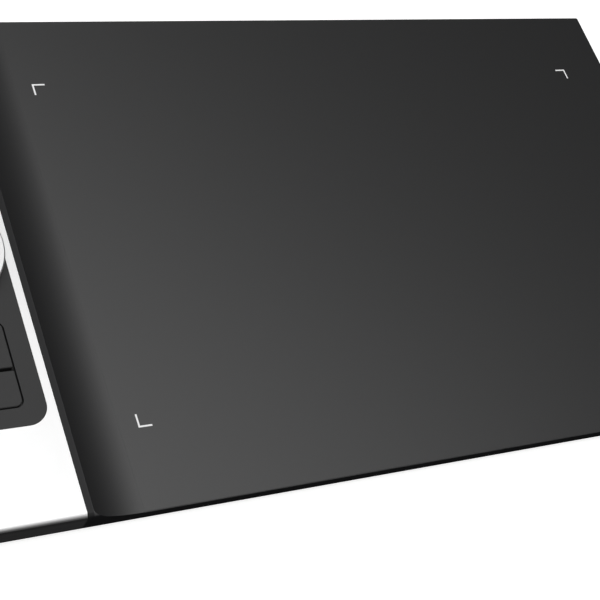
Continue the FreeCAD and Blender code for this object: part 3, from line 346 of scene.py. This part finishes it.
for turns, (across, along) in enumerate(((-1, -1), (1, -1), (1, 1), (-1, 1))):
    corner_x = maths(tree, "MULTIPLY_ADD", given["Width"], across / 2, ACTIVE_CENTRE[0])
    corner_y = maths(tree, "MULTIPLY_ADD", given["Depth"], along / 2, ACTIVE_CENTRE[1])
    mark = moved(tree, legs.outputs["Mesh"], vector(tree, corner_x, corner_y, film_top), turns)
    tree.links.new(mark, marks.inputs["Geometry"])
close_tree(tree, marks.outputs["Geometry"], ink)
grown("corner_marks", tree, sockets, HOUSING)


# Upper housing
# Injection moulded black plastic: the concave sweep, the strip at its top, the walls, and under the
# silver plate the platform. The upward faces have the same clear matte coat as the film, and the
# walls under the plate a thinner one.
RIDGE = -0.1347
STRIP_COAT = 0.32
WALL_COAT = 0.07
COAT_BLUR = 0.0002
COAT_START = 0.5
COAT_FULL = 0.85
COVE_FOOT = -0.1148
LAST_FACET = 0.0032
LAST_TILT = 0.0326
HAIR = 0.00001


def part_of(made, whole, axis):
    """One part of a vector."""
    split = made.node_tree.nodes.new("ShaderNodeSeparateXYZ")
    made.node_tree.links.new(whole, split.inputs[0])
    return split.outputs[axis]


shell = finish("black_shell", (0.01, 0.01, 0.0105), 0.6, specular=0.0)
clear_coat(shell, 0.38, 1.77)
tree = shell.node_tree
normal = tree.nodes.new("ShaderNodeNewGeometry").outputs["Normal"]
upward = spread(shell, part_of(shell, normal, "Z"), 0, 1, COAT_START, COAT_FULL, smooth=True)
across = part_of(shell, tree.nodes.new("ShaderNodeTexCoord").outputs["Object"], "X")
past_strip = spread(shell, across, STRIP_COAT, 1, RIDGE - COAT_BLUR, RIDGE + COAT_BLUR)
plate_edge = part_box("side_plate")[1].x
under_plate = spread(shell, across, WALL_COAT, 0, plate_edge - COAT_BLUR, plate_edge + COAT_BLUR)
coat = maths(tree, "ADD", maths(tree, "MULTIPLY", upward, past_strip), under_plate)
coat.node.use_clamp = True
wire(shell, "Coat Weight", coat)
tint(shell, noise(shell, 0.002), (0.009, 0.009, 0.0094), (0.011, 0.011, 0.0116))
wire(shell, "Roughness", spread(shell, noise(shell, 0.0006), 0.56, 0.66))
# The cove's arc ends level at its foot, so the last of its facets is shaded as that arc.
surplus = spread(shell, across, 0, LAST_TILT, COVE_FOOT - LAST_FACET, COVE_FOOT)
surplus = maths(tree, "MULTIPLY", surplus, maths(tree, "LESS_THAN", across, COVE_FOOT + HAIR))
levelled = tree.nodes.new("ShaderNodeVectorMath")
levelled.operation = "SUBTRACT"
tree.links.new(normal, levelled.inputs[0])
tree.links.new(vector(tree, surplus, 0, 0), levelled.inputs[1])
wire(shell, "Normal", levelled.outputs["Vector"])
relief(shell, noise(shell, 0.00025, detail=1), 0.000004)
dress(shell, "top_cover")


# Bottom cover
# A thin black tray, moulded with a coarser grain than the upper housing. It is screwed on from
# below, and the feet cover its screws.
tray = finish("black_tray", (0.01, 0.01, 0.0104), 0.7, specular=0.0)
tint(tray, noise(tray, 0.004, detail=4), (0.0085, 0.0085, 0.0088), (0.0115, 0.0115, 0.012))
wire(tray, "Roughness", spread(tray, noise(tray, 0.002), 0.64, 0.76))
relief(tray, noise(tray, 0.0006, detail=3), 0.00002)
dress(tray, "bottom_cover")


# Feet
# Round pads of black rubber, die cut from sheet and stuck into recesses of the bottom cover. They
# pick up dust, so their colour is a little uneven.
rubber = finish("foot_rubber", (0.022, 0.022, 0.023), 0.88, specular=0.25)
tint(rubber, noise(rubber, 0.003, detail=5), (0.017, 0.017, 0.018), (0.03, 0.03, 0.031))
relief(rubber, noise(rubber, 0.0004, detail=4), 0.00003)
dress(rubber, *[f"foot_{n}" for n in range(1, 7)])


# Side plate
# Drawn from 1 mm aluminium sheet over the raised end, with its edges rolled down on three sides,
# then bead blasted and anodised silver, with painted shade down the roll. Bonded onto the platform.
# Painted shade: below a normal Z of 0.96 the silver's colour darkens, reaching dark grey at 0.6.
PAINTED_SHADE_START = 0.96
PAINTED_SHADE_FULL = 0.6
silver = finish("blasted_silver", (0.95, 0.95, 0.95), 0.42, metallic=1)
normal = silver.node_tree.nodes.new("ShaderNodeNewGeometry").outputs["Normal"]
upward = spread(silver, part_of(silver, normal, "Z"), 0, 1, PAINTED_SHADE_FULL, PAINTED_SHADE_START, smooth=True)
mottled = spread(silver, noise(silver, 0.006, detail=3), 0.97, 1)
mottle_and_painted_shade = maths(silver.node_tree, "MULTIPLY", upward, mottled)
# Base colour: dark grey where the shade is painted, silver with a random mottle elsewhere.
tint(silver, mottle_and_painted_shade, (0.1, 0.1, 0.1), (0.965, 0.965, 0.965))
wire(silver, "Roughness", spread(silver, noise(silver, 0.0005), 0.38, 0.46))
relief(silver, noise(silver, 0.00018, detail=1), 0.000004)
dress(silver, "side_plate")


# Key panel
# Moulded in dark grey with a satin texture, and dropped into the plate's opening. Its edge rests on
# the platform, and it has two openings for keys and one for the dial's neck.
satin = finish("satin_panel", (0.0185, 0.0185, 0.0189), 0.5)
tint(satin, noise(satin, 0.002), (0.017, 0.017, 0.0173), (0.02, 0.02, 0.0204))
wire(satin, "Roughness", spread(satin, noise(satin, 0.001), 0.47, 0.54))
relief(satin, noise(satin, 0.0003), 0.000006)
dress(satin, "key_panel")


# Keys
# Eight hollow caps in two blocks of four, moulded in the panel's plastic. Fingers polish their
# tops, so they are a little glossier than the panel.
caps = finish("key_caps", (0.0175, 0.0175, 0.0179), 0.46)
tint(caps, noise(caps, 0.002), (0.016, 0.016, 0.0163), (0.019, 0.019, 0.0194))
wire(caps, "Roughness", spread(caps, noise(caps, 0.003, detail=4), 0.42, 0.52))
relief(caps, noise(caps, 0.00025), 0.000005)
dress(caps, *[f"key_{n}" for n in range(1, 9)])


# Dial ring
# Turned from aluminium bar, chamfered and anodised silver. The cutter leaves rings on its top, too
# fine to count. A wave texture at scale 1 repeats every WAVE_LENGTH metres.
TURNING_PITCH = 0.00024
WAVE_LENGTH = math.pi / 10
dial_low, dial_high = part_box("dial_ring")
dial_axis = (dial_low + dial_high) / 2


def rings(made, axis, pitch):
    """Fine rings round an upright axis."""
    tree = made.node_tree
    place = tree.nodes.new("ShaderNodeTexCoord")
    centred = tree.nodes.new("ShaderNodeMapping")
    centred.inputs["Location"].default_value = (-axis.x / pitch, -axis.y / pitch, 0)
    centred.inputs["Scale"].default_value = (1 / pitch, 1 / pitch, 1 / pitch)
    wave = tree.nodes.new("ShaderNodeTexWave")
    wave.wave_type = "RINGS"
    wave.rings_direction = "Z"
    wave.inputs["Scale"].default_value = WAVE_LENGTH
    wave.inputs["Distortion"].default_value = 0.6
    wave.inputs["Detail"].default_value = 2
    tree.links.new(place.outputs["Object"], centred.inputs["Vector"])
    tree.links.new(centred.outputs["Vector"], wave.inputs["Vector"])
    return wave.outputs["Fac"]


turned = finish("turned_silver", (0.92, 0.92, 0.92), 0.38, metallic=1)
tint(turned, noise(turned, 0.004, detail=3), (0.91, 0.91, 0.91), (0.935, 0.935, 0.935))
turning = rings(turned, dial_axis, TURNING_PITCH)
wire(turned, "Roughness", spread(turned, turning, 0.32, 0.42))
relief(turned, turning, 0.000003)
dress(turned, "dial_ring")


# Touch disc
# The dished disc inside the ring stands still. Moulded in black with a smooth matte surface that
# a finger slides over, and it closes the dial's hub.
disc = finish("touch_black", (0.018, 0.018, 0.019), 0.4)
tint(disc, noise(disc, 0.003), (0.016, 0.016, 0.017), (0.021, 0.021, 0.022))
wire(disc, "Roughness", spread(disc, noise(disc, 0.002, detail=4), 0.36, 0.46))
relief(disc, noise(disc, 0.0003), 0.000004)
dress(disc, "touch_disc")


# Dial bearing
# The ring's carrier is moulded in black, and turns on a hub and a washer of natural acetal. The
# plungers of the key switches are moulded in acetal too.
carrier_black = finish("carrier_black", (0.02, 0.02, 0.02), 0.5)
wire(carrier_black, "Roughness", spread(carrier_black, noise(carrier_black, 0.001), 0.44, 0.56))
relief(carrier_black, noise(carrier_black, 0.0004), 0.000008)
dress(carrier_black, "dial_rotor")
acetal = finish("natural_acetal", (0.62, 0.61, 0.57), 0.38)
tint(acetal, noise(acetal, 0.003), (0.6, 0.59, 0.55), (0.65, 0.64, 0.6))
acetal.node_tree.nodes["Principled BSDF"].inputs["Subsurface Weight"].default_value = 0.1
relief(acetal, noise(acetal, 0.0005), 0.000006)
dress(acetal, "dial_hub", "dial_washer", *[f"switch_plunger_{n}" for n in range(1, 9)])


# Detent spring and light barriers
# The leaf that clicks over the rotor's notches is stamped from spring steel. The two forked light
# barriers beside the skirt are black, and glossy where they were cut from their frame.
spring_steel = finish("spring_steel", (0.6, 0.59, 0.57), 0.3, metallic=1)
grain = noise(spring_steel, 0.0004, stretch=(1, 0.1, 1))
wire(spring_steel, "Roughness", spread(spring_steel, grain, 0.24, 0.4))
relief(spring_steel, grain, 0.000003)
dress(spring_steel, "detent_spring")
package_black = finish("package_black", (0.018, 0.018, 0.019), 0.55)
wire(package_black, "Roughness", spread(package_black, noise(package_black, 0.0005), 0.45, 0.65))
relief(package_black, noise(package_black, 0.0002), 0.000008)
dress(package_black, "dial_sensors", "main_chips", *[f"key_switch_{n}" for n in range(1, 9)])


# Circuit boards
# Glass fibre boards under solder mask, green in the housing and black under the keys, where the
# board shows in the gaps. The copper lines are slightly raised, paler lines on a 2 mm grid.
TRACK_PITCH = 0.002


def tracks(made):
    """Copper lines under a board's solder mask."""
    tree = made.node_tree
    place = tree.nodes.new("ShaderNodeTexCoord")
    scaled = tree.nodes.new("ShaderNodeMapping")
    scaled.inputs["Scale"].default_value = (1 / TRACK_PITCH, 1 / TRACK_PITCH, 1 / TRACK_PITCH)
    lines = tree.nodes.new("ShaderNodeTexBrick")
    lines.inputs["Scale"].default_value = 1
    lines.inputs["Mortar Size"].default_value = 0.08
    lines.inputs["Mortar Smooth"].default_value = 0.3
    tree.links.new(place.outputs["Object"], scaled.inputs["Vector"])
    tree.links.new(scaled.outputs["Vector"], lines.inputs["Vector"])
    return lines.outputs["Fac"]


green = ((0.01, 0.085, 0.038), (0.03, 0.17, 0.08))
black = ((0.008, 0.008, 0.0085), (0.02, 0.02, 0.021))
for color, (low, high), boards in (
    ("green", green, ("main_board", "sensor_board")),
    ("black", black, ("switch_board", "touch_board")),
):
    mask = finish(color + "_mask", low, 0.32)
    copper = tracks(mask)
    tint(mask, copper, low, high)
    relief(mask, copper, 0.00002)
    wire(mask, "Roughness", spread(mask, noise(mask, 0.001), 0.28, 0.38))
    dress(mask, *boards)


# Flat cables and sockets
# Polyimide ribbons with copper conductors inside, pushed into low sockets moulded in pale beige
# nylon. The conductors show as stripes along each ribbon.
CONDUCTOR_PITCH = 0.0005


def conductors(made, along_x):
    """Stripes that run along a ribbon."""
    tree = made.node_tree
    place = tree.nodes.new("ShaderNodeTexCoord")
    wave = tree.nodes.new("ShaderNodeTexWave")
    wave.bands_direction = "Y" if along_x else "X"
    wave.inputs["Scale"].default_value = WAVE_LENGTH / CONDUCTOR_PITCH
    tree.links.new(place.outputs["Object"], wave.inputs["Vector"])
    return wave.outputs["Fac"]


for along_x, names in ((True, ("sensor_ribbon", "touch_ribbon")), (False, ("switch_ribbon",))):
    ribbon = finish("polyimide_" + ("x" if along_x else "y"), (0.42, 0.17, 0.035), 0.3)
    stripes = conductors(ribbon, along_x)
    tint(ribbon, stripes, (0.36, 0.13, 0.025), (0.5, 0.24, 0.06))
    relief(ribbon, stripes, 0.00001)
    wire(ribbon, "Roughness", spread(ribbon, noise(ribbon, 0.002), 0.26, 0.36))
    dress(ribbon, *names)
nylon = finish("beige_nylon", (0.6, 0.55, 0.44), 0.5)
tint(nylon, noise(nylon, 0.001), (0.57, 0.52, 0.41), (0.64, 0.59, 0.48))
relief(nylon, noise(nylon, 0.0003), 0.00001)
dress(nylon, "ribbon_sockets")


# Shield
# Thin tinned steel sheet, bonded under the sensor board. Its rolling left long, faint scratches
# along it.
shield = finish("tinned_sheet", (0.55, 0.55, 0.54), 0.35, metallic=1)
tint(shield, noise(shield, 0.02, detail=4), (0.5, 0.5, 0.49), (0.6, 0.6, 0.59))
scratches = noise(shield, 0.0008, stretch=(0.03, 1, 1))
wire(shield, "Roughness", spread(shield, scratches, 0.28, 0.44))
relief(shield, scratches, 0.000004)
dress(shield, "shield_sheet")


# Inlet
# A drawn stainless shell round a black tongue, soldered to the main board at the back edge. The
# tongue carries twelve gold plated contacts on each face.
CONTACT_COUNT = 12
CONTACT_PITCH = 0.0005
CONTACT_WIDTH = 0.00028
CONTACT_LENGTH = 0.0036
CONTACT_HEIGHT = 0.00003
TONGUE_THICKNESS = 0.0007
TONGUE_SET_BACK = 0.0004

stainless = finish("stainless_shell", (0.66, 0.65, 0.63), 0.28, metallic=1)
draw_lines = noise(stainless, 0.0006, stretch=(1, 0.1, 1))
wire(stainless, "Roughness", spread(stainless, draw_lines, 0.22, 0.36))
relief(stainless, draw_lines, 0.000003)
dress(stainless, "usb_shell")
tongue_black = finish("tongue_black", (0.02, 0.02, 0.021), 0.5)
wire(tongue_black, "Roughness", spread(tongue_black, noise(tongue_black, 0.0004), 0.42, 0.58))
relief(tongue_black, noise(tongue_black, 0.0002), 0.000006)
dress(tongue_black, "usb_tongue")
gold = finish("contact_gold", (0.83, 0.6, 0.25), 0.25, metallic=1)
wire(gold, "Roughness", spread(gold, noise(gold, 0.0002), 0.2, 0.34))
relief(gold, noise(gold, 0.0001), 0.000002)

tongue_low, tongue_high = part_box("usb_tongue")
tree, sockets = new_tree(
    "inlet_contacts", Count=CONTACT_COUNT, Pitch=CONTACT_PITCH, Width=CONTACT_WIDTH,
    Length=CONTACT_LENGTH, Height=CONTACT_HEIGHT, Thickness=TONGUE_THICKNESS,
)
given = tree.nodes.new("NodeGroupInput").outputs
contact = tree.nodes.new("GeometryNodeMeshCube")
contact_size = vector(tree, given["Width"], given["Length"], given["Height"])
tree.links.new(contact_size, contact.inputs["Size"])
faces = tree.nodes.new("GeometryNodeJoinGeometry")
tongue_middle = (tongue_low + tongue_high) / 2
row_length = maths(tree, "MULTIPLY", maths(tree, "SUBTRACT", given["Count"], 1), given["Pitch"])
row_start = maths(tree, "MULTIPLY_ADD", row_length, -0.5, tongue_middle.x)
row_y = tongue_high.y - TONGUE_SET_BACK - CONTACT_LENGTH / 2
lift = maths(tree, "MULTIPLY", maths(tree, "ADD", given["Thickness"], given["Height"]), 0.5)
for side in (1, -1):
    level = maths(tree, "MULTIPLY_ADD", lift, side, tongue_middle.z)
    row = tree.nodes.new("GeometryNodeMeshLine")
    tree.links.new(given["Count"], row.inputs["Count"])
    tree.links.new(vector(tree, row_start, row_y, level), row.inputs["Start Location"])
    tree.links.new(vector(tree, given["Pitch"], 0, 0), row.inputs["Offset"])
    placed = tree.nodes.new("GeometryNodeInstanceOnPoints")
    tree.links.new(row.outputs["Mesh"], placed.inputs["Points"])
    tree.links.new(contact.outputs["Mesh"], placed.inputs["Instance"])
    tree.links.new(placed.outputs["Instances"], faces.inputs["Geometry"])
close_tree(tree, faces.outputs["Geometry"], gold)
grown("inlet_contacts", tree, sockets, HOUSING)


# Screws
# Pan head screws of zinc plated steel hold the covers, the boards and the dial's hub. The plating
# is slightly uneven.
zinc = finish("zinc_steel", (0.5, 0.5, 0.49), 0.34, metallic=1)
tint(zinc, noise(zinc, 0.0008, detail=4), (0.44, 0.44, 0.43), (0.56, 0.56, 0.55))
wire(zinc, "Roughness", spread(zinc, noise(zinc, 0.0004), 0.28, 0.42))
relief(zinc, noise(zinc, 0.0002), 0.000004)
dress(zinc, "cover_screws", "board_screws", "hub_screws")
